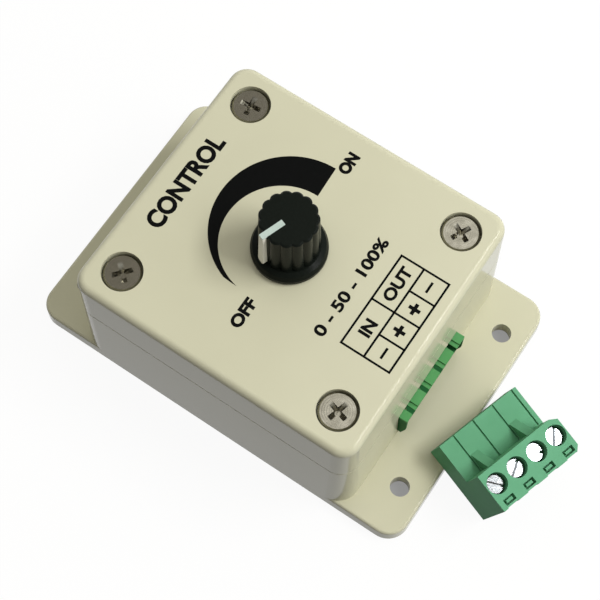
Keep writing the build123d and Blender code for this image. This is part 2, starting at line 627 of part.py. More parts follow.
def plug_way_cuts(place):
    """What one way cuts out of the plug: contact chamber, cage well, wire entry, screw bore, test slot."""
    room = 2 * CONTACT_CLEARANCE
    chamber_end = CLAMP_PLACE
    chamber = slab(
        chamber_end,
        CONTACT_WIDTH + room,
        CONTACT_HEIGHT + room,
        chamber_end / 2,
        place,
        (MATE_HEIGHT - CONTACT_HEIGHT) / 2 - CONTACT_CLEARANCE,
    )
    well_floor = CAGE_FLOOR - CAGE_CLEARANCE
    well_height = cage_height() + CLAMP_TRAVEL + 2 * CAGE_CLEARANCE
    well = slab(
        CAGE_LENGTH + 2 * CAGE_CLEARANCE,
        CAGE_WIDTH + 2 * CAGE_CLEARANCE,
        well_height,
        CLAMP_PLACE,
        place,
        well_floor,
    )
    entry_bottom = CAGE_FLOOR + CAGE_WALL
    entry_height = contact_bar_top() + CONTACT_CLEARANCE - entry_bottom
    entry_length = PLUG_LENGTH - CLAMP_PLACE
    entry = slab(
        entry_length, WIRE_ENTRY_WIDTH, entry_height, PLUG_LENGTH - entry_length / 2, place, entry_bottom
    )
    seat = screw_seat() - CONTACT_CLEARANCE
    bore = rod(CLAMP_SCREW_BORE, PLUG_HEIGHT - seat, CLAMP_PLACE, place, seat)
    neck = CLAMP_SCREW_SHANK_DIAMETER + 2 * CONTACT_CLEARANCE
    neck_hole = rod(neck, seat - well_floor - well_height, CLAMP_PLACE, place, well_floor + well_height)
    slot_x = PLUG_LENGTH - FRONT_SCALLOP_DEPTH - SLOT_EDGE_WALL - SLOT_WIDTH / 2
    slot_floor = PLUG_HEIGHT - SLOT_DEPTH
    slot = slab(SLOT_WIDTH, SLOT_LENGTH, SLOT_DEPTH, slot_x, place, slot_floor)
    slot -= slab(SLOT_TAB_WIDTH, SLOT_TAB_LENGTH, SLOT_DEPTH - SLOT_TAB_DROP, slot_x, place, slot_floor)
    scallop = slab(2 * FRONT_SCALLOP_DEPTH, FRONT_SCALLOP_WIDTH, PLUG_HEIGHT, PLUG_LENGTH, place)
    groove = slab(
        MATE_LENGTH,
        PLUG_GROOVE_WIDTH,
        PLUG_GROOVE_DEPTH,
        MATE_LENGTH / 2,
        place + PLUG_GROOVE_OFFSET,
        MATE_HEIGHT - PLUG_GROOVE_DEPTH,
    )
    return [chamber, well, entry, bore, neck_hole, slot, scallop, groove]


def plug_housing():
    """Moulded plug: flat mating tongue, tall clamp block, two fins between them."""
    half = PLUG_WIDTH / 2
    block_outline = Polyline(
        (MATE_LENGTH, -half),
        (PLUG_LENGTH, -half),
        *plug_end_places(),
        (MATE_LENGTH + PLUG_BACK_CHAMFER_X, half),
        (MATE_LENGTH, half - PLUG_BACK_CHAMFER_Y),
        close=True,
    )
    tongue = MATE_LENGTH + PLUG_BACK_CHAMFER_X
    body = slab(tongue, PLUG_WIDTH, MATE_HEIGHT, tongue / 2)
    body += extrude(make_face(block_outline), PLUG_HEIGHT)
    fin_outline = Polyline(
        (MATE_LENGTH - FIN_LENGTH, MATE_HEIGHT),
        (MATE_LENGTH, MATE_HEIGHT),
        (MATE_LENGTH, MATE_HEIGHT + FIN_HEIGHT),
        close=True,
    )
    fin = extrude(Plane.XZ * make_face(fin_outline), FIN_THICKNESS / 2, both=True)
    for side in (-1, 1):
        body += Pos(0, side * PITCH, 0) * fin
    for place in WAY_PLACES:
        for cut in plug_way_cuts(place):
            body -= cut
    return plug_place() * body


def plug_contact(place):
    """Folded contact: an open channel round the pin, then the bar that the cage clamps against."""
    channel_length = MATE_LENGTH - CONTACT_START
    bottom = (MATE_HEIGHT - CONTACT_HEIGHT) / 2
    middle = CONTACT_START + channel_length / 2
    channel = slab(channel_length, CONTACT_WIDTH, CONTACT_HEIGHT, middle, place, bottom)
    channel -= slab(
        channel_length,
        CONTACT_WIDTH - 2 * CONTACT_SHEET,
        CONTACT_HEIGHT - CONTACT_SHEET,
        CONTACT_START + channel_length / 2,
        place,
        bottom,
    )
    bar_length = CONTACT_BAR_END - CONTACT_START
    bar_bottom = contact_bar_top() - CONTACT_SHEET
    bar = slab(bar_length, CONTACT_WIDTH, CONTACT_SHEET, CONTACT_START + bar_length / 2, place, bar_bottom)
    return plug_place() * (channel + bar)


def plug_clamp(place):
    """Rising cage: a square ring round the contact bar, tapped for its screw."""
    cage = slab(CAGE_LENGTH, CAGE_WIDTH, cage_height(), CLAMP_PLACE, place, CAGE_FLOOR)
    window = cage_height() - CAGE_WALL - CAGE_TOP
    cage -= slab(CAGE_LENGTH, CAGE_WIDTH - 2 * CAGE_WALL, window, CLAMP_PLACE, place, CAGE_FLOOR + CAGE_WALL)
    tapped = CLAMP_SCREW_SHANK_DIAMETER + 2 * PILOT_CLEARANCE
    cage_top = CAGE_FLOOR + cage_height()
    return plug_place() * (cage - rod(tapped, CAGE_TOP, CLAMP_PLACE, place, cage_top - CAGE_TOP))


def plug_screw(place, turn):
    """Slotted screw, held in its bore by the shoulder, in thread with the cage."""
    bottom = contact_bar_top() + CONTACT_CLEARANCE
    screw = rod(CLAMP_SCREW_SHANK_DIAMETER, screw_seat() - bottom, z=bottom)
    screw += rod(CLAMP_SCREW_HEAD_DIAMETER, CLAMP_SCREW_HEAD_HEIGHT, z=screw_seat())
    slot_floor = PLUG_HEIGHT - CLAMP_SCREW_SINK - CLAMP_SCREW_SLOT_DEPTH
    screw -= slab(CLAMP_SCREW_HEAD_DIAMETER, CLAMP_SCREW_SLOT_WIDTH, CLAMP_SCREW_SLOT_DEPTH, z=slot_floor)
    return plug_place() * Pos(CLAMP_PLACE, place, 0) * Rot(0, 0, turn) * screw


def nodes():
    """Every piece of the dimmer, by name."""
    made = {
        "base_box": base_box(),
        "lid": lid(),
        "lid_screws": lid_screws(),
        "circuit_board": circuit_board(),
        "board_screws": [board_screw(x, y) for x, y in corners(BOARD_SCREW_SPACING_X, BOARD_SCREW_SPACING_Y)],
        "terminal_header": terminal_header(),
        "header_pins": [header_pin(place) for place in WAY_PLACES],
        "pot_housing": pot_housing(),
        "pot_bushing": pot_bushing(),
        "pot_terminals": [pot_leg(y) for y in pot_leg_places()],
        "pot_shaft": pot_shaft(),
        "knob": knob(),
        "knob_pointer": pointer_bar(),
        "power_transistor": power_transistor(),
        "controller_chip": controller_chip(),
        "filter_capacitor": filter_capacitor(),
        "flyback_diode": flyback_diode(),
        "resistors": [resistor(index) for index in range(RESISTORS)],
        "plug_housing": plug_housing(),
        "plug_contacts": [plug_contact(place) for place in WAY_PLACES],
    }
    for way, place in enumerate(WAY_PLACES):
        made[f"plug_screw_{way + 1}"] = plug_screw(place, CLAMP_SCREW_TURNS[way])
        made[f"plug_clamp_{way + 1}"] = plug_clamp(place)
    return made


os.makedirs("parts", exist_ok=True)
for name, piece in nodes().items():
    solid = Compound(piece) if isinstance(piece, list) else piece
    export_step(solid, f"parts/{name}.step")
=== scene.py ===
import math

import bmesh
import bpy
from mathutils import Matrix, Vector


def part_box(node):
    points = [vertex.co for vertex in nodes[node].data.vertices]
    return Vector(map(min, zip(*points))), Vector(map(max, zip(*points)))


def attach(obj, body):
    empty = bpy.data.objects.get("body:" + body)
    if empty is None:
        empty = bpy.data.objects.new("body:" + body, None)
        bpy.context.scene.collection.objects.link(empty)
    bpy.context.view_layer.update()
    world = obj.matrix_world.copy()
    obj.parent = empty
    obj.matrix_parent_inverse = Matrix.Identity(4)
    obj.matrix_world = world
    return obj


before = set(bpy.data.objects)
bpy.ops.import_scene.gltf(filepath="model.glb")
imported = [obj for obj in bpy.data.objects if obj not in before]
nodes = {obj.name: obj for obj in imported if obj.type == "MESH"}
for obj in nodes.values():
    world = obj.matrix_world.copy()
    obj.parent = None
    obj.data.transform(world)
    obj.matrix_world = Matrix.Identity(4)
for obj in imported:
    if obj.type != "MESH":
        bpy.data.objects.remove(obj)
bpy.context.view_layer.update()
MM = 0.001
LID_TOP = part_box("lid")[1].z
KNOB_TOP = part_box("knob")[1].z
SOCKET_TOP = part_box("terminal_header")[1].z

# Distances between the lid screws' centres, in millimetres
LID_SCREW_SPACING_X = 48.0
LID_SCREW_SPACING_Y = 42.0


# Nodes and colours

# The Mix node's sockets go by number, because those for numbers and for colours share their names
FLOAT_A, FLOAT_B, FLOAT_MIXED = 2, 3, 0
COLOUR_A, COLOUR_B, COLOUR_MIXED = 6, 7, 2


def linear(hex_colour):
    """An sRGB hex colour as the linear RGBA that Blender's sockets take."""
    channels = [int(hex_colour[i:i + 2], 16) / 255 for i in (1, 3, 5)]
    return [c / 12.92 if c <= 0.04045 else ((c + 0.055) / 1.055) ** 2.4 for c in channels] + [1.0]


def feed(tree, node, inputs):
    """Sets each input of a node to a value, or joins it to another node's socket."""
    for name, value in inputs.items():
        if isinstance(value, bpy.types.NodeSocket):
            tree.links.new(value, node.inputs[name])
        else:
            node.inputs[name].default_value = value


def add(tree, kind, inputs=None, **settings):
    """One new node, with its settings and its inputs."""
    node = tree.nodes.new(kind)
    for name, value in settings.items():
        setattr(node, name, value)
    feed(tree, node, inputs or {})
    return node


def emptied_tree(owner):
    """The node tree of a material or a world, with nothing in it."""
    owner.use_nodes = True
    owner.node_tree.nodes.clear()
    return owner.node_tree


def start_material(name):
    """A new material with a Principled shader: its tree, the shader and the Object coordinates."""
    material = bpy.data.materials.new(name)
    tree = emptied_tree(material)
    shader = add(tree, "ShaderNodeBsdfPrincipled")
    add(tree, "ShaderNodeOutputMaterial", {"Surface": shader.outputs["BSDF"]})
    return material, tree, shader, add(tree, "ShaderNodeTexCoord").outputs["Object"]


def per_metre(millimetres):
    """The texture scale at which one cell of a pattern is this many millimetres wide."""
    return 1 / (millimetres * MM)


# Materials: pattern sizes, relief depths and height bands, in millimetres, which carry painted light and
# shade on the pointer, painted shade in the socket and a darker foot on the plug

# Mould grain, eroded grain and silica filler are really finer, and are drawn coarse enough to show
FLOW_MOTTLE = 14.0
MOULD_GRAIN = 0.6
TOOL_MARKS = 0.45
PLATING_PATCHES = 1.5
BARREL_GRAIN = 0.5
THIN_TIN = 1.2
FLOW_SPECKLE = 0.5
BRUSHED_COVER = 0.9
POLYAMIDE_CLOUD = 4.0
ERODED_GRAIN = 0.35
GLASS_YARNS = 1.0
SILICA_FILLER = 0.3
SLEEVE_RIPPLE = 3.0
PAPER_FIBRE = 0.6
INK_COVER = 0.7

FINE_RELIEF = 0.02
COARSE_RELIEF = 0.03
RIPPLE_RELIEF = 0.1

# The pointer's top band is painted light and shade, the socket is painted shade below its depth, and the plug
# is darker below its height
PAINTED_TOP_BAND = 0.4
LOW_TONE_FADE = 0.3
PLUG_DARK_HEIGHT = 1.0
SOCKET_PAINTED_SHADE_DEPTH = 0.6


def moulded_abs_beige():
    """Glossy ABS from a polished mould: an even warm beige, a clear soft gloss and a trace of flow mottle."""
    material, tree, shader, place = start_material("moulded_abs_beige")
    mottle = add(tree, "ShaderNodeTexNoise", {"Vector": place, "Scale": per_metre(FLOW_MOTTLE),
                                              "Detail": 2.0})
    tone = add(tree, "ShaderNodeMix", {"Factor": mottle.outputs["Fac"], COLOUR_A: linear("#C8C6AB"),
                                       COLOUR_B: linear("#CECCB1")}, data_type="RGBA")
    grain = add(tree, "ShaderNodeTexNoise", {"Vector": place, "Scale": per_metre(MOULD_GRAIN), "Detail": 3.0})
    gloss = add(tree, "ShaderNodeMapRange", {"Value": grain.outputs["Fac"], "To Min": 0.08, "To Max": 0.14})
    skin = add(tree, "ShaderNodeBump", {"Height": grain.outputs["Fac"], "Strength": 0.12,
                                        "Distance": FINE_RELIEF * MM})
    feed(tree, shader, {"Base Color": tone.outputs[COLOUR_MIXED], "Roughness": gloss.outputs["Result"],
                        "Normal": skin.outputs["Normal"], "IOR": 1.53, "Specular IOR Level": 0.13})
    return material


def nickel_plated_screw():
    """Nickel-plated steel, turned: fine rings round each head and dull warm-grey patches in the plating."""
    material, tree, shader, place = start_material("nickel_plated_screw")
    flat = add(tree, "ShaderNodeSeparateXYZ", {"Vector": place})
    from_axis = []
    for axis, spacing in (("X", LID_SCREW_SPACING_X), ("Y", LID_SCREW_SPACING_Y)):
        side = add(tree, "ShaderNodeMath", {0: flat.outputs[axis]}, operation="ABSOLUTE")
        from_axis.append(add(tree, "ShaderNodeMath", {0: side.outputs[0], 1: spacing / 2 * MM},
                             operation="SUBTRACT"))
    spoke = add(tree, "ShaderNodeCombineXYZ", {"X": from_axis[0].outputs[0], "Y": from_axis[1].outputs[0]})
    radius = add(tree, "ShaderNodeVectorMath", {0: spoke.outputs[0]}, operation="LENGTH")
    # Tool marks of 0.1 mm would not show, so they are drawn wider apart
    turns = add(tree, "ShaderNodeMath", {0: radius.outputs["Value"], 1: 2 * math.pi * per_metre(TOOL_MARKS)},
                operation="MULTIPLY")
    rings = add(tree, "ShaderNodeMath", {0: turns.outputs[0]}, operation="SINE")
    patches = add(tree, "ShaderNodeTexNoise", {"Vector": place, "Scale": per_metre(PLATING_PATCHES),
                                               "Detail": 4.0})
    tone = add(tree, "ShaderNodeMix", {"Factor": patches.outputs["Fac"], COLOUR_A: linear("#7A7768"),
                                       COLOUR_B: linear("#ABA89B")}, data_type="RGBA")
    dull = add(tree, "ShaderNodeMapRange", {"Value": patches.outputs["Fac"], "To Min": 0.30, "To Max": 0.18})
    marks = add(tree, "ShaderNodeBump", {"Height": rings.outputs[0], "Strength": 0.08,
                                         "Distance": FINE_RELIEF * MM})
    feed(tree, shader, {"Base Color": tone.outputs[COLOUR_MIXED], "Roughness": dull.outputs["Result"],
                        "Normal": marks.outputs["Normal"], "Metallic": 1.0})
    return material


def bright_zinc_steel():
    """Blue-passivated zinc on steel: clear cool grey metal with a faint barrel-polished grain."""
    material, tree, shader, place = start_material("bright_zinc_steel")
    grain = add(tree, "ShaderNodeTexNoise", {"Vector": place, "Scale": per_metre(BARREL_GRAIN),
                                             "Detail": 3.0})
    tone = add(tree, "ShaderNodeMix", {"Factor": grain.outputs["Fac"], COLOUR_A: linear("#9EA3A7"),
                                       COLOUR_B: linear("#BCC0C4")}, data_type="RGBA")
    gloss = add(tree, "ShaderNodeMapRange", {"Value": grain.outputs["Fac"], "To Min": 0.10, "To Max": 0.16})
    feed(tree, shader, {"Base Color": tone.outputs[COLOUR_MIXED], "Roughness": gloss.outputs["Result"],
                        "Metallic": 1.0})
    return material


def tinned_brass():
    """Dip-tinned brass strip: soft silver with yellower patches where the tin is thin."""
    material, tree, shader, place = start_material("tinned_brass")
    thin = add(tree, "ShaderNodeTexNoise", {"Vector": place, "Scale": per_metre(THIN_TIN), "Detail": 4.0})
    tone = add(tree, "ShaderNodeMix", {"Factor": thin.outputs["Fac"], COLOUR_A: linear("#BDB08E"),
                                       COLOUR_B: linear("#CFCDC6")}, data_type="RGBA")
    dull = add(tree, "ShaderNodeMapRange", {"Value": thin.outputs["Fac"], "To Min": 0.44, "To Max": 0.28})
    feed(tree, shader, {"Base Color": tone.outputs[COLOUR_MIXED], "Roughness": dull.outputs["Result"],
                        "Metallic": 1.0})
    return material


def satin_black_phenolic():
    """Moulded black thermoset: near black with a trace of green, a satin skin and a fine flow speckle."""
    material, tree, shader, place = start_material("satin_black_phenolic")
    speckle = add(tree, "ShaderNodeTexNoise", {"Vector": place, "Scale": per_metre(FLOW_SPECKLE),
                                               "Detail": 4.0})
    tone = add(tree, "ShaderNodeMix", {"Factor": speckle.outputs["Fac"], COLOUR_A: linear("#111511"),
                                       COLOUR_B: linear("#181C18")}, data_type="RGBA")
    satin = add(tree, "ShaderNodeMapRange", {"Value": speckle.outputs["Fac"], "To Min": 0.20, "To Max": 0.30})
    skin = add(tree, "ShaderNodeBump", {"Height": speckle.outputs["Fac"], "Strength": 0.15,
                                        "Distance": FINE_RELIEF * MM})
    feed(tree, shader, {"Base Color": tone.outputs[COLOUR_MIXED], "Roughness": satin.outputs["Result"],
                        "Normal": skin.outputs["Normal"], "IOR": 1.5, "Specular IOR Level": 0.05})
    return material


def pointer_enamel():
    """Brushed-in white enamel: uneven and flat, with painted light: a bright cream down the side, standing in
    for light the side lacks, and a darker, cooler top band, standing in for the stronger light on top.
    """
    material, tree, shader, place = start_material("pointer_enamel")
    cover = add(tree, "ShaderNodeTexNoise", {"Vector": place, "Scale": per_metre(BRUSHED_COVER),
                                             "Detail": 3.0})
    top = add(tree, "ShaderNodeMix", {"Factor": cover.outputs["Fac"], COLOUR_A: linear("#AABCB1"),
                                      COLOUR_B: linear("#C0CEC6")}, data_type="RGBA")
    height = add(tree, "ShaderNodeSeparateXYZ", {"Vector": place})
    # Painted light and shade: below this band the side is painted a bright cream, and the top band is painted
    # darker and cooler
    painted_top_share = add(tree, "ShaderNodeMapRange", {"Value": height.outputs["Z"],
                                               "From Min": KNOB_TOP - PAINTED_TOP_BAND * MM,
                                               "From Max": KNOB_TOP})
    tone = add(tree, "ShaderNodeMix", {"Factor": painted_top_share.outputs["Result"], COLOUR_A: linear("#FBF8EC"),
                                       COLOUR_B: top.outputs[COLOUR_MIXED]}, data_type="RGBA")
    feed(tree, shader, {"Base Color": tone.outputs[COLOUR_MIXED], "Roughness": 0.45, "IOR": 1.5})
    return material


def green_polyamide(piece, deep, pale, low_tone, low_top):
    """Moulded green polyamide: low gloss, slightly cloudy, a fine eroded skin, and a darker tone below a
    given height.
    """
    material, tree, shader, place = start_material(f"green_polyamide_{piece}")
    cloud = add(tree, "ShaderNodeTexNoise", {"Vector": place, "Scale": per_metre(POLYAMIDE_CLOUD),
                                             "Detail": 2.0})
    fresh = add(tree, "ShaderNodeMix", {"Factor": cloud.outputs["Fac"], COLOUR_A: linear(deep),
                                        COLOUR_B: linear(pale)}, data_type="RGBA")
    height = add(tree, "ShaderNodeSeparateXYZ", {"Vector": place})
    # Darker below a height: in the socket this is painted shade inside it, below its top edge; on the plug it
    # is only darker towards the bottom
    above_low = add(tree, "ShaderNodeMapRange", {"Value": height.outputs["Z"],
                                             "From Min": low_top - LOW_TONE_FADE * MM, "From Max": low_top})
    tone = add(tree, "ShaderNodeMix", {"Factor": above_low.outputs["Result"], COLOUR_A: linear(low_tone),
                                       COLOUR_B: fresh.outputs[COLOUR_MIXED]}, data_type="RGBA")
    grain = add(tree, "ShaderNodeTexNoise", {"Vector": place, "Scale": per_metre(ERODED_GRAIN),
                                             "Detail": 2.0})
    gloss = add(tree, "ShaderNodeMapRange", {"Value": grain.outputs["Fac"], "To Min": 0.36, "To Max": 0.52})
    skin = add(tree, "ShaderNodeBump", {"Height": grain.outputs["Fac"], "Strength": 0.2,
                                        "Distance": FINE_RELIEF * MM})
    feed(tree, shader, {"Base Color": tone.outputs[COLOUR_MIXED], "Roughness": gloss.outputs["Result"],
                        "Normal": skin.outputs["Normal"], "IOR": 1.53, "Specular IOR Level": 0.02})
    return material


def masked_glass_laminate():
    """Glass-epoxy board under green solder mask: a glossy skin over a woven ground."""
    material, tree, shader, place = start_material("masked_glass_laminate")
    # Glass yarns of 0.5 mm are too fine to show, so they are drawn twice as wide
    flat = add(tree, "ShaderNodeSeparateXYZ", {"Vector": place})
    yarns = []
    for axis in ("X", "Y"):
        phase = add(tree, "ShaderNodeMath", {0: flat.outputs[axis], 1: math.pi * per_metre(GLASS_YARNS)},
                    operation="MULTIPLY")
        yarns.append(add(tree, "ShaderNodeMath", {0: phase.outputs[0]}, operation="SINE"))
    crossing = add(tree, "ShaderNodeMath", {0: yarns[0].outputs[0], 1: yarns[1].outputs[0]},
                   operation="MULTIPLY")
    weave = add(tree, "ShaderNodeMapRange", {"Value": crossing.outputs[0], "From Min": -1.0})
    tone = add(tree, "ShaderNodeMix", {"Factor": weave.outputs["Result"], COLOUR_A: linear("#1C4A2C"),
                                       COLOUR_B: linear("#26613A")}, data_type="RGBA")
    skin = add(tree, "ShaderNodeBump", {"Height": weave.outputs["Result"], "Strength": 0.3,
                                        "Distance": COARSE_RELIEF * MM})
    feed(tree, shader, {"Base Color": tone.outputs[COLOUR_MIXED], "Roughness": 0.3,
                        "Normal": skin.outputs["Normal"], "IOR": 1.55})
    return material


def filled_epoxy_package():
    """Silica-filled epoxy: charcoal black, matt and finely speckled."""
    material, tree, shader, place = start_material("filled_epoxy_package")
    filler = add(tree, "ShaderNodeTexNoise", {"Vector": place, "Scale": per_metre(SILICA_FILLER),
                                              "Detail": 4.0})
    tone = add(tree, "ShaderNodeMix", {"Factor": filler.outputs["Fac"], COLOUR_A: linear("#17171A"),
                                       COLOUR_B: linear("#2C2C2E")}, data_type="RGBA")
    matt = add(tree, "ShaderNodeBump", {"Height": filler.outputs["Fac"], "Strength": 0.3,
                                        "Distance": COARSE_RELIEF * MM})
    feed(tree, shader, {"Base Color": tone.outputs[COLOUR_MIXED], "Roughness": 0.62,
                        "Normal": matt.outputs["Normal"], "IOR": 1.5})
    return material


def shrunk_pvc_sleeve():
    """Shrunk PVC sleeve: dark blue, glossy and slightly rippled round the can."""
    material, tree, shader, place = start_material("shrunk_pvc_sleeve")
    ripple = add(tree, "ShaderNodeTexNoise", {"Vector": place, "Scale": per_metre(SLEEVE_RIPPLE),
                                              "Detail": 1.0})
    tone = add(tree, "ShaderNodeMix", {"Factor": ripple.outputs["Fac"], COLOUR_A: linear("#252D52"),
                                       COLOUR_B: linear("#333C68")}, data_type="RGBA")
    skin = add(tree, "ShaderNodeBump", {"Height": ripple.outputs["Fac"], "Strength": 0.3,
                                        "Distance": RIPPLE_RELIEF * MM})
    feed(tree, shader, {"Base Color": tone.outputs[COLOUR_MIXED], "Roughness": 0.22,
                        "Normal": skin.outputs["Normal"], "IOR": 1.53})
    return material


def punched_phenolic_paper():
    """Punched phenolic paper: toffee brown with short paper fibres under a dull resin skin."""
    material, tree, shader, place = start_material("punched_phenolic_paper")
    stretch = add(tree, "ShaderNodeMapping", {"Vector": place, "Scale": (1.0, 0.25, 1.0)})
    fibre = add(tree, "ShaderNodeTexNoise", {"Vector": stretch.outputs["Vector"],
                                             "Scale": per_metre(PAPER_FIBRE), "Detail": 4.0})
    tone = add(tree, "ShaderNodeMix", {"Factor": fibre.outputs["Fac"], COLOUR_A: linear("#52361F"),
                                       COLOUR_B: linear("#7A5533")}, data_type="RGBA")
    feed(tree, shader, {"Base Color": tone.outputs[COLOUR_MIXED], "Roughness": 0.5, "IOR": 1.55})
    return material


def screen_ink():
    """Screen-printed black ink: flat and dense, a little grey where the mesh let less through."""
    material, tree, shader, place = start_material("screen_ink")
    cover = add(tree, "ShaderNodeTexNoise", {"Vector": place, "Scale": per_metre(INK_COVER), "Detail": 3.0})
    tone = add(tree, "ShaderNodeMix", {"Factor": cover.outputs["Fac"], COLOUR_A: linear("#040505"),
                                       COLOUR_B: linear("#0A0B0A")}, data_type="RGBA")
    feed(tree, shader, {"Base Color": tone.outputs[COLOUR_MIXED], "Roughness": 0.5, "IOR": 1.5,
                        "Specular IOR Level": 0.06})
    return material


beige = moulded_abs_beige()
lid_screw_metal = nickel_plated_screw()
zinc = bright_zinc_steel()
tin = tinned_brass()
black = satin_black_phenolic()
plug_green = green_polyamide("plug", "#61A17A", "#6DAC86", "#4F8F68", PLUG_DARK_HEIGHT * MM)
# The socket's darker green below its top edge is painted shade
socket_green = green_polyamide("socket", "#519358", "#5D9D64", "#2C6A3C", SOCKET_TOP - SOCKET_PAINTED_SHADE_DEPTH * MM)
epoxy = filled_epoxy_package()
phenolic = punched_phenolic_paper()
ink = screen_ink()

# The plug's screws and clamps, which are not listed, are zinc too
MADE_OF = {
    "base_box": beige, "lid": beige, "lid_screws": lid_screw_metal, "board_screws": zinc,
    "circuit_board": masked_glass_laminate(), "terminal_header": socket_green, "plug_housing": plug_green,
    "header_pins": tin, "plug_contacts": tin, "pot_terminals": tin, "pot_housing": phenolic,
    "pot_bushing": zinc, "pot_shaft": zinc, "knob": black, "knob_pointer": pointer_enamel(),
    "power_transistor": epoxy, "controller_chip": epoxy, "flyback_diode": epoxy, "resistors": epoxy,
    "filter_capacitor": shrunk_pvc_sleeve(),
}
for name, node in nodes.items():
    node.data.materials.clear()
    node.data.materials.append(MADE_OF.get(name, zinc))


# Print on the lid: sizes in millimetres; the print reads along +Y, with its top towards -X

INK_SINK = 0.01
INK_PROUD = 0.015
INK_THICKNESS = INK_SINK + INK_PROUD
WELD_DISTANCE = 0.0005
READING_TURN = math.radians(90)

CRESCENT_INNER_CENTRE = (-2.63, 0.19)
CRESCENT_INNER_RADIUS = 11.89
CRESCENT_OUTER_CENTRE = (-2.70, 3.27)
CRESCENT_OUTER_RADIUS = 15.51
CRESCENT_OFF_ANGLE = 260.0
CRESCENT_ON_ANGLE = 88.8
CRESCENT_ON_SLANT = 1.4
CRESCENT_TAPER = 14.0
CRESCENT_STEPS = 97

TABLE_TOP = 17.35
TABLE_MIDDLE = 22.3
TABLE_BOTTOM = 27.8
TABLE_LEFT = -9.9
TABLE_RIGHT = 10.7
RULE_WIDTH = 0.42

TERMINAL_SIGNS = ("-", "+", "+", "-")
SIGN_LENGTH = 2.4
MINUS_THICKNESS = 0.5
SIGN_BOLDNESS = 0.042

# Each word's text, cap height, place on the lid, length and boldness, which is a share of the font's own size
WORDS = {
    "print_name": ("CONTROL", 3.9, (-24.97, 0.63), 22.1, 0.042),
    "print_off": ("OFF", 2.55, (-0.69, -15.19), 6.25, 0.050),
    "print_on": ("ON", 2.6, (-1.25, 21.03), 4.7, 0.062),
    "print_level": ("0 - 50 - 100%", 2.45, (12.97, 0.28), 22.8, 0.034),
    "print_in": ("IN", 2.5, (19.94, -4.84), 3.3, 0.042),
    "print_out": ("OUT", 2.5, (19.78, 5.44), 7.5, 0.042),
}
LETTER_CURVE_STEPS = 4


def put_on_lid(name, mesh, place=(0.0, 0.0), turn=0.0):
    """Makes a piece of print from a mesh in millimetres, laid on the lid at a place."""
    to_lid = Matrix.Translation((place[0] * MM, place[1] * MM, LID_TOP - INK_SINK * MM))
    mesh.transform(to_lid @ Matrix.Rotation(turn, 4, "Z") @ Matrix.Scale(MM, 4))
    mesh.materials.clear()
    mesh.materials.append(ink)
    piece = bpy.data.objects.new(name, mesh)
    bpy.context.scene.collection.objects.link(piece)
    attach(piece, "case")


def words_mesh(words, cap_height, length, boldness):
    """Closed letters of the ink's thickness, centred, with their foot at zero."""
    curve = bpy.data.curves.new("words", "FONT")
    curve.body = words
    curve.offset = boldness
    # Half a unit each way, so that the letters are one unit thick before they are scaled to the ink
    curve.extrude = 0.5
    curve.resolution_u = LETTER_CURVE_STEPS
    holder = bpy.data.objects.new("words", curve)
    mesh = bpy.data.meshes.new_from_object(holder)
    bpy.data.objects.remove(holder)
    low = [min(v.co[i] for v in mesh.vertices) for i in range(3)]
    high = [max(v.co[i] for v in mesh.vertices) for i in range(3)]
    tall = cap_height / (high[1] - low[1])
    wide = length / (high[0] - low[0])
    centre = Vector(((low[0] + high[0]) / 2, (low[1] + high[1]) / 2, low[2]))
    mesh.transform(Matrix.Diagonal((wide, tall, INK_THICKNESS, 1)) @ Matrix.Translation(-centre))
    soup = bmesh.new()
    soup.from_mesh(mesh)
    bmesh.ops.remove_doubles(soup, verts=soup.verts, dist=WELD_DISTANCE)
    bmesh.ops.recalc_face_normals(soup, faces=soup.faces)
    soup.to_mesh(mesh)
    soup.free()
    return mesh


def new_tree(name, inputs):
    """A Geometry Nodes tree with named inputs: the tree, and the sockets that carry them."""
    tree = bpy.data.node_groups.new(name, "GeometryNodeTree")
    for label, kind in inputs.items():
        tree.interface.new_socket(label, in_out="INPUT", socket_type=kind)
    tree.interface.new_socket("Geometry", in_out="OUTPUT", socket_type="NodeSocketGeometry")
    return tree, add(tree, "NodeGroupInput").outputs


def finish_tree(tree, geometry, material):
    """Ends a tree in plain mesh with its material."""
    real = add(tree, "GeometryNodeRealizeInstances", {"Geometry": geometry})
    inked = add(tree, "GeometryNodeSetMaterial", {"Geometry": real.outputs[0], "Material": material})
    add(tree, "NodeGroupOutput", {"Geometry": inked.outputs[0]})


def grown_mesh(tree, values):
    """The plain mesh that a tree gives for these values of its inputs."""
    holder = bpy.data.objects.new("grown", bpy.data.meshes.new("grown"))
    bpy.context.scene.collection.objects.link(holder)
    modifier = holder.modifiers.new("grown", "NODES")
    modifier.node_group = tree
    for item in tree.interface.items_tree:
        if item.in_out == "INPUT":
            modifier[item.identifier] = values[item.name]
    mesh = bpy.data.meshes.new_from_object(holder.evaluated_get(bpy.context.evaluated_depsgraph_get()))
    holder.modifiers.remove(modifier)
    bpy.data.objects.remove(holder)
    return mesh


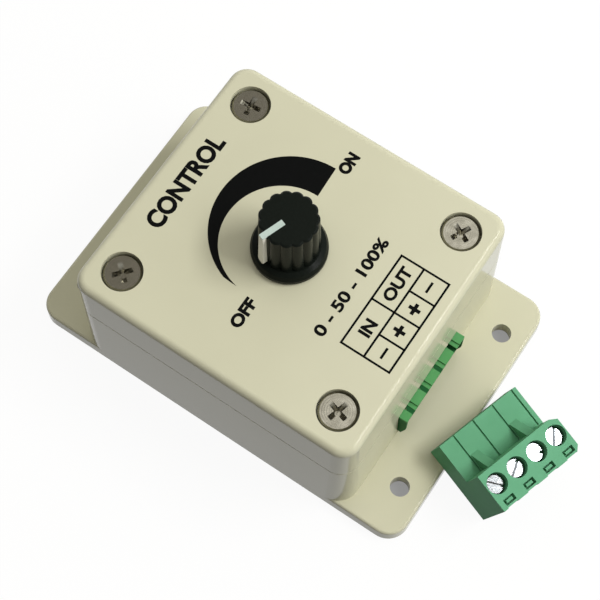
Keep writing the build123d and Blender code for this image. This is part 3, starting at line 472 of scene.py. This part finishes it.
def rule_tree():
    """Parallel printed rules: a row of bars along X, one pitch apart along Y, centred on the origin."""
    tree, given = new_tree("printed_rules", {
        "Count": "NodeSocketInt", "Pitch": "NodeSocketFloat", "Length": "NodeSocketFloat",
        "Width": "NodeSocketFloat", "Thickness": "NodeSocketFloat", "Material": "NodeSocketMaterial"})
    gaps = add(tree, "ShaderNodeMath", {0: given["Count"], 1: 1.0}, operation="SUBTRACT")
    reach = add(tree, "ShaderNodeMath", {0: gaps.outputs[0], 1: given["Pitch"]}, operation="MULTIPLY")
    first = add(tree, "ShaderNodeMath", {0: reach.outputs[0], 1: -0.5}, operation="MULTIPLY")
    middle = add(tree, "ShaderNodeMath", {0: given["Thickness"], 1: 0.5}, operation="MULTIPLY")
    start = add(tree, "ShaderNodeCombineXYZ", {"Y": first.outputs[0], "Z": middle.outputs[0]})
    step = add(tree, "ShaderNodeCombineXYZ", {"Y": given["Pitch"]})
    places = add(tree, "GeometryNodeMeshLine", {"Count": given["Count"], "Start Location": start.outputs[0],
                                                "Offset": step.outputs[0]})
    size = add(tree, "ShaderNodeCombineXYZ", {"X": given["Length"], "Y": given["Width"],
                                              "Z": given["Thickness"]})
    bar = add(tree, "GeometryNodeMeshCube", {"Size": size.outputs[0]})
    bars = add(tree, "GeometryNodeInstanceOnPoints", {"Points": places.outputs["Mesh"],
                                                      "Instance": bar.outputs["Mesh"]})
    finish_tree(tree, bars.outputs["Instances"], given["Material"])
    return tree


def crescent_tree():
    """A printed dial crescent: the band between two eccentric circles, swept about the inner centre."""
    tree, given = new_tree("printed_crescent", {
        "Steps": "NodeSocketInt", "From Angle": "NodeSocketFloat", "To Angle": "NodeSocketFloat",
        "Slant": "NodeSocketFloat", "Taper": "NodeSocketFloat", "Inner Radius": "NodeSocketFloat",
        "Outer Radius": "NodeSocketFloat", "Outer Shift": "NodeSocketVector",
        "Thickness": "NodeSocketFloat", "Material": "NodeSocketMaterial"})
    # A sheet one unit square: its X becomes the angle and its Y the distance from the inner centre
    sheet = add(tree, "GeometryNodeMeshGrid", {"Size X": 1.0, "Size Y": 1.0, "Vertices X": given["Steps"],
                                               "Vertices Y": 2})
    edges = {"From Min": -0.5, "From Max": 0.5}
    here = add(tree, "ShaderNodeSeparateXYZ", {"Vector": add(tree, "GeometryNodeInputPosition").outputs[0]})
    outer = add(tree, "ShaderNodeMath", {0: given["To Angle"], 1: given["Slant"]}, operation="ADD")
    end = add(tree, "ShaderNodeMapRange", {"Value": here.outputs["Y"], **edges, "To Min": given["To Angle"],
                                           "To Max": outer.outputs[0]})
    angle = add(tree, "ShaderNodeMapRange", {"Value": here.outputs["X"], **edges,
                                             "To Min": given["From Angle"], "To Max": end.outputs["Result"]})
    across = add(tree, "ShaderNodeMath", {0: angle.outputs["Result"]}, operation="COSINE")
    along = add(tree, "ShaderNodeMath", {0: angle.outputs["Result"]}, operation="SINE")
    ray = add(tree, "ShaderNodeCombineXYZ", {"X": across.outputs[0], "Y": along.outputs[0]})
    # Where the ray from the inner centre meets the outer circle: lead + sqrt(R^2 - shift^2 + lead^2)
    lead = add(tree, "ShaderNodeVectorMath", {0: ray.outputs[0], 1: given["Outer Shift"]},
               operation="DOT_PRODUCT")
    lead_2 = add(tree, "ShaderNodeMath", {0: lead.outputs["Value"], 1: 2.0}, operation="POWER")
    shift_2 = add(tree, "ShaderNodeVectorMath", {0: given["Outer Shift"], 1: given["Outer Shift"]},
                  operation="DOT_PRODUCT")
    radius_2 = add(tree, "ShaderNodeMath", {0: given["Outer Radius"], 1: 2.0}, operation="POWER")
    rest = add(tree, "ShaderNodeMath", {0: radius_2.outputs[0], 1: shift_2.outputs["Value"]},
               operation="SUBTRACT")
    under = add(tree, "ShaderNodeMath", {0: rest.outputs[0], 1: lead_2.outputs[0]}, operation="ADD")
    root = add(tree, "ShaderNodeMath", {0: under.outputs[0]}, operation="SQRT")
    rim = add(tree, "ShaderNodeMath", {0: lead.outputs["Value"], 1: root.outputs[0]}, operation="ADD")
    # The band runs out to a fine point over the taper angle at its start
    run = add(tree, "ShaderNodeMath", {0: given["From Angle"], 1: angle.outputs["Result"]},
              operation="SUBTRACT")
    full = add(tree, "ShaderNodeMapRange", {"Value": run.outputs[0], "From Max": given["Taper"]})
    edge = add(tree, "ShaderNodeMix", {"Factor": full.outputs["Result"], FLOAT_A: given["Inner Radius"],
                                       FLOAT_B: rim.outputs[0]})
    reach = add(tree, "ShaderNodeMapRange", {"Value": here.outputs["Y"], **edges,
                                             "To Min": given["Inner Radius"],
                                             "To Max": edge.outputs[FLOAT_MIXED]})
    point = add(tree, "ShaderNodeVectorMath", {0: ray.outputs[0], "Scale": reach.outputs["Result"]},
                operation="SCALE")
    band = add(tree, "GeometryNodeSetPosition", {"Geometry": sheet.outputs["Mesh"],
                                                 "Position": point.outputs[0]})
    rise = add(tree, "ShaderNodeCombineXYZ", {"Z": given["Thickness"]})
    raised = add(tree, "GeometryNodeExtrudeMesh", {"Mesh": band.outputs[0], "Offset": rise.outputs[0],
                                                   "Individual": False})
    foot = add(tree, "GeometryNodeFlipFaces", {"Mesh": band.outputs[0]})
    both = add(tree, "GeometryNodeJoinGeometry")
    for part in (raised, foot):
        tree.links.new(part.outputs[0], both.inputs[0])
    closed = add(tree, "GeometryNodeMergeByDistance", {"Geometry": both.outputs[0],
                                                       "Distance": WELD_DISTANCE})
    finish_tree(tree, closed.outputs[0], given["Material"])
    return tree


def print_words():
    """The words on the lid, and a sign for each terminal in the table's lower row."""
    for name, (words, cap_height, place, length, boldness) in WORDS.items():
        put_on_lid(name, words_mesh(words, cap_height, length, boldness), place, READING_TURN)
    pitch = (TABLE_RIGHT - TABLE_LEFT) / len(TERMINAL_SIGNS)
    signs_x = (TABLE_MIDDLE + TABLE_BOTTOM) / 2
    for column, sign in enumerate(TERMINAL_SIGNS):
        y = TABLE_LEFT + pitch * (column + 0.5)
        thick = SIGN_LENGTH if sign == "+" else MINUS_THICKNESS
        mesh = words_mesh(sign, thick, SIGN_LENGTH, SIGN_BOLDNESS)
        put_on_lid(f"print_sign_{column + 1}", mesh, (signs_x, y), READING_TURN)


def print_crescent():
    """The crescent round the knob, which widens from OFF to ON."""
    outer_shift = [b - a for a, b in zip(CRESCENT_INNER_CENTRE, CRESCENT_OUTER_CENTRE)] + [0.0]
    crescent = grown_mesh(crescent_tree(), {
        "Steps": CRESCENT_STEPS, "From Angle": math.radians(CRESCENT_OFF_ANGLE),
        "To Angle": math.radians(CRESCENT_ON_ANGLE), "Slant": math.radians(CRESCENT_ON_SLANT),
        "Taper": math.radians(CRESCENT_TAPER),
        "Inner Radius": CRESCENT_INNER_RADIUS, "Outer Radius": CRESCENT_OUTER_RADIUS,
        "Outer Shift": outer_shift, "Thickness": INK_THICKNESS, "Material": ink})
    put_on_lid("print_crescent", crescent, CRESCENT_INNER_CENTRE)


def print_table():
    """The ruled table: two cells above, and one for each terminal below."""
    rules = rule_tree()
    columns = len(TERMINAL_SIGNS)
    width = TABLE_RIGHT - TABLE_LEFT
    height = TABLE_BOTTOM - TABLE_TOP
    # Each row of rules: its name, count, pitch, length, top, bottom and turn
    rows = (
        ("print_table_frame", 2, height, width + RULE_WIDTH, TABLE_TOP, TABLE_BOTTOM, READING_TURN),
        ("print_table_divider", 1, 0.0, width, TABLE_MIDDLE, TABLE_MIDDLE, READING_TURN),
        ("print_table_ends", 2, width, height, TABLE_TOP, TABLE_BOTTOM, 0.0),
        ("print_table_upper", 1, 0.0, TABLE_MIDDLE - TABLE_TOP, TABLE_TOP, TABLE_MIDDLE, 0.0),
        ("print_table_lower", columns - 1, width / columns, TABLE_BOTTOM - TABLE_MIDDLE,
         TABLE_MIDDLE, TABLE_BOTTOM, 0.0),
    )
    middle_y = (TABLE_LEFT + TABLE_RIGHT) / 2
    for name, count, pitch, length, top, bottom, turn in rows:
        mesh = grown_mesh(rules, {"Count": count, "Pitch": pitch, "Length": length, "Width": RULE_WIDTH,
                                  "Thickness": INK_THICKNESS, "Material": ink})
        put_on_lid(name, mesh, ((top + bottom) / 2, middle_y), turn)


print_words()
print_crescent()
print_table()


# Studio: a pale floor, a soft box, a ceiling panel, an overhead lamp, a wide low window and a dim surround

# Lengths in metres
FLOOR_HALF = 6.0
FLOOR_DROP = 0.05 * MM
FLOOR_GLOW = 0.93
FLOOR_GLOW_UNDER = 0.26
UNDER_MARGIN = 2 * MM
AIM = Vector((0, 0, 20 * MM))
LAMPS = {
    "soft_box": {"towards": (0.52, 0.31, 0.80), "distance": 0.7, "size": (0.34, 0.14), "watts": 2.80},
    "ceiling_panel": {"towards": (0.00, 0.33, 0.94), "distance": 0.8, "size": (0.26, 0.30), "watts": 0.42},
    "overhead": {"towards": (-0.05, -0.15, 0.98), "distance": 0.9, "size": (0.36, 0.36), "watts": 0.5},
    "side_window": {"towards": (0.88, 0.29, 0.37), "distance": 1.0, "size": (1.1, 0.30), "watts": 1.7},
}

# Where the surround changes with direction: from dark to pale along Y, with a share of X to either side,
# from wall to ceiling along Z, and to white low down where it is seen directly
END_SHARE = 0.6
DARK_TO_PALE = {"From Min": -0.8, "From Max": 0.9}
WALL_TO_CEILING = {"From Min": 0.72, "From Max": 0.86}
DIM_TO_WHITE = {"From Min": 0.5, "From Max": 0.2}


def seen_directly(tree, strength):
    """A socket that is this strong for camera, glossy and transmitted rays, and zero for diffuse light."""
    rays = add(tree, "ShaderNodeLightPath")
    glossy = add(tree, "ShaderNodeMath", {0: rays.outputs["Is Camera Ray"], 1: rays.outputs["Is Glossy Ray"]},
                 operation="ADD")
    seen = add(tree, "ShaderNodeMath", {0: glossy.outputs[0], 1: rays.outputs["Is Transmission Ray"]},
               operation="ADD", use_clamp=True)
    return add(tree, "ShaderNodeMath", {0: seen.outputs[0], 1: strength}, operation="MULTIPLY").outputs[0]


def glow_under(tree, place):
    """The floor's glow at a place: weak in the case's own footprint, where no light gets under it."""
    flat = add(tree, "ShaderNodeSeparateXYZ", {"Vector": place})
    inside = []
    for axis, half in zip("XY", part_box("base_box")[1]):
        side = add(tree, "ShaderNodeMath", {0: flat.outputs[axis]}, operation="ABSOLUTE")
        inside.append(add(tree, "ShaderNodeMath", {0: side.outputs[0], 1: half - UNDER_MARGIN},
                          operation="LESS_THAN"))
    both = add(tree, "ShaderNodeMath", {0: inside[0].outputs[0], 1: inside[1].outputs[0]},
               operation="MULTIPLY")
    return add(tree, "ShaderNodeMapRange", {"Value": both.outputs[0], "To Min": FLOOR_GLOW,
                                            "To Max": FLOOR_GLOW_UNDER}).outputs["Result"]


def add_floor():
    """A matt pale floor that shows white and keeps the shadow."""
    corners = [(x * FLOOR_HALF, y * FLOOR_HALF, -FLOOR_DROP) for x, y in ((-1, -1), (1, -1), (1, 1), (-1, 1))]
    mesh = bpy.data.meshes.new("studio_floor")
    mesh.from_pydata(corners, [], [(0, 1, 2, 3)])
    floor = bpy.data.objects.new("studio_floor", mesh)
    bpy.context.scene.collection.objects.link(floor)
    material = bpy.data.materials.new("matt_studio_paper")
    tree = emptied_tree(material)
    paper = add(tree, "ShaderNodeBsdfDiffuse", {"Color": linear("#4A4A48")})
    under = glow_under(tree, add(tree, "ShaderNodeTexCoord").outputs["Object"])
    glow = add(tree, "ShaderNodeEmission", {"Strength": seen_directly(tree, under)})
    both = add(tree, "ShaderNodeAddShader", {0: paper.outputs[0], 1: glow.outputs[0]})
    add(tree, "ShaderNodeOutputMaterial", {"Surface": both.outputs[0]})
    mesh.materials.append(material)


def add_light(name, towards, distance, size, watts):
    """An oblong lamp that faces the object from a direction."""
    lamp = bpy.data.lights.new(name, "AREA")
    lamp.shape = "RECTANGLE"
    lamp.size = size[0]
    lamp.size_y = size[1]
    lamp.energy = watts
    holder = bpy.data.objects.new(name, lamp)
    back = Vector(towards).normalized()
    holder.rotation_mode = "QUATERNION"
    holder.rotation_quaternion = (-back).to_track_quat("-Z", "Y")
    holder.location = AIM + back * distance
    bpy.context.scene.collection.objects.link(holder)


def add_surround():
    """The studio round the object: pale behind and at both ends, dark in front, with a dim ceiling.

    Low down it is white for what is seen directly or in a gloss.
    """
    world = bpy.data.worlds.new("studio_surround")
    bpy.context.scene.world = world
    tree = emptied_tree(world)
    way = add(tree, "ShaderNodeSeparateXYZ", {"Vector": add(tree, "ShaderNodeTexCoord").outputs["Generated"]})
    endwards = add(tree, "ShaderNodeMath", {0: way.outputs["X"]}, operation="ABSOLUTE")
    pale = add(tree, "ShaderNodeMath", {0: endwards.outputs[0], 1: END_SHARE, 2: way.outputs["Y"]},
               operation="MULTIPLY_ADD")
    share = add(tree, "ShaderNodeMapRange", {"Value": pale.outputs[0], **DARK_TO_PALE})
    wall = add(tree, "ShaderNodeMix", {"Factor": share.outputs["Result"], COLOUR_A: linear("#3A3733"),
                                       COLOUR_B: linear("#EEEEEC")}, data_type="RGBA")
    high = add(tree, "ShaderNodeMapRange", {"Value": way.outputs["Z"], **WALL_TO_CEILING})
    tone = add(tree, "ShaderNodeMix", {"Factor": high.outputs["Result"], COLOUR_A: wall.outputs[COLOUR_MIXED],
                                       COLOUR_B: linear("#958F86")}, data_type="RGBA")
    low = add(tree, "ShaderNodeMapRange", {"Value": way.outputs["Z"], **DIM_TO_WHITE})
    shown = seen_directly(tree, low.outputs["Result"])
    mixed = add(tree, "ShaderNodeMix", {"Factor": shown, COLOUR_A: tone.outputs[COLOUR_MIXED],
                                        COLOUR_B: linear("#FFFFFF")}, data_type="RGBA")
    sky = add(tree, "ShaderNodeBackground", {"Color": mixed.outputs[COLOUR_MIXED], "Strength": 1.0})
    add(tree, "ShaderNodeOutputWorld", {"Surface": sky.outputs[0]})


add_floor()
for name, lamp in LAMPS.items():
    add_light(name, **lamp)
add_surround()


# Camera: a pinhole fitted to the case's edges, screws and ear holes, for a picture of 600 by 600

PICTURE_PIXELS = 600
FOCAL_PIXELS = 1494.393
SENSOR = 36.0
AZIMUTH = math.radians(33.663)
ELEVATION = math.radians(69.342)
ROLL = math.radians(0.268)
DISTANCE = 310.717 * MM
MOVED_RIGHT = 1.455 * MM
MOVED_UP = 2.950 * MM
CLIP_START = 10 * MM


def add_camera():
    """The photograph's camera."""
    back = Vector((math.sin(AZIMUTH) * math.cos(ELEVATION), -math.cos(AZIMUTH) * math.cos(ELEVATION),
                   math.sin(ELEVATION)))
    level = Vector((math.cos(AZIMUTH), math.sin(AZIMUTH), 0))
    rise = back.cross(level)
    right = level * math.cos(ROLL) + rise * math.sin(ROLL)
    up = rise * math.cos(ROLL) - level * math.sin(ROLL)
    data = bpy.data.cameras.new("photo_camera")
    data.sensor_width = SENSOR
    data.lens = SENSOR * FOCAL_PIXELS / PICTURE_PIXELS
    data.clip_start = CLIP_START
    camera = bpy.data.objects.new("photo_camera", data)
    place = right * MOVED_RIGHT + up * MOVED_UP + back * DISTANCE
    turned = Matrix((right, up, back)).transposed().to_4x4()
    camera.matrix_world = Matrix.Translation(place) @ turned
    bpy.context.scene.collection.objects.link(camera)
    bpy.context.scene.camera = camera


add_camera()
bpy.context.scene.view_settings.view_transform = "Standard"
